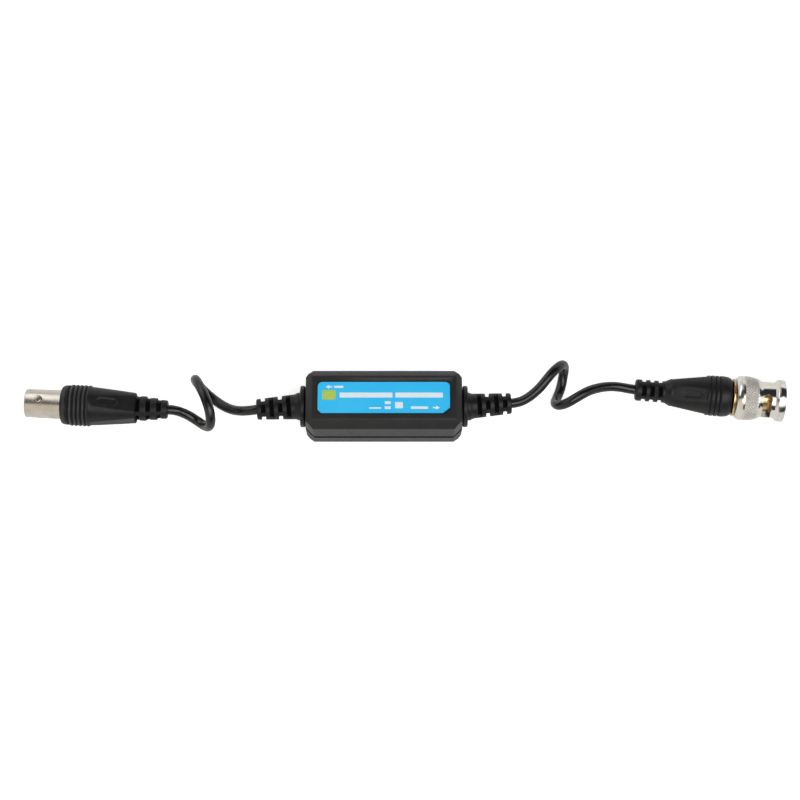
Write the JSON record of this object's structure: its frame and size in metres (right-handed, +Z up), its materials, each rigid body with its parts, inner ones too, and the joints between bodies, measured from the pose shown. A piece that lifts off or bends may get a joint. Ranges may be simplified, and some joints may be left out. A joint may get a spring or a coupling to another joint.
{
  "type": "ground loop isolator",
  "caption": "Small black box with a transformer inside and short coaxial tails to a bayonet jack and a bayonet plug, which passes video and breaks a ground loop.",
  "frame": {"origin": "centre of the underside of the box", "axes": "+X along the box from the jack towards the plug, +Y across the box away from the label's cut corners, +Z up through the label"},
  "size_m": [0.2561, 0.0275, 0.02],
  "materials": {
    "shell": "satin black moulded plastic with a fine texture",
    "rubber": "soft black moulding",
    "jacket": "satin black cable jacket",
    "label": "printed blue film",
    "print": "white print",
    "badge": "yellow-green print",
    "board": "green solder mask",
    "ferrite": "dull grey ferrite",
    "copper": "enamelled copper wire",
    "ceramic": "orange dipped coating",
    "resistor": "beige lacquer",
    "nickel": "bright nickel plating",
    "gold": "gold plating on brass",
    "insulator": "white insulation",
    "gasket": "red silicone"
  },
  "bodies": {
    "isolator": {"lower_shell": "shell", "upper_shell": "shell", "label": "label", "label_print": "print", "label_badge": "badge", "circuit_board": "board", "transformer_core": "ferrite", "primary_winding": "copper", "secondary_winding": "copper", "bridging_capacitor": "ceramic", "bleed_resistor": "resistor", "left_cable": "jacket", "left_grommet": "rubber", "left_dielectric": "insulator", "left_core_wire": "copper", "left_braid": "copper", "right_cable": "jacket", "right_grommet": "rubber", "right_dielectric": "insulator", "right_core_wire": "copper", "right_braid": "copper", "jack_boot": "rubber", "jack_shell": "nickel", "jack_insulator": "insulator", "jack_contact": "gold", "jack_ferrule": "nickel", "plug_boot": "rubber", "plug_body": "gold", "plug_collar": "gold", "plug_insulator": "insulator", "plug_pin": "gold", "plug_ferrule": "nickel", "plug_gasket": "gasket", "wave_washer": "nickel"},
    "slip_washer": {"slip_washer": "nickel"},
    "coupling_sleeve": {"coupling_sleeve": "nickel"}
  },
  "joints": [
    {"name": "sleeve_slide", "type": "slide", "parent": "isolator", "child": "slip_washer", "axis": [0.9968, -0.0802, 0], "range_m": [0, 0.0008], "stiffness_N_per_m": 4000, "springref_m": -0.0005, "deforming": ["wave_washer"]},
    {"name": "sleeve_turn", "type": "hinge", "parent": "slip_washer", "child": "coupling_sleeve", "pos_m": [0.12457, 0.00349, 0.0076], "axis": [0.9968, -0.0802, 0], "continuous": true}
  ]
}
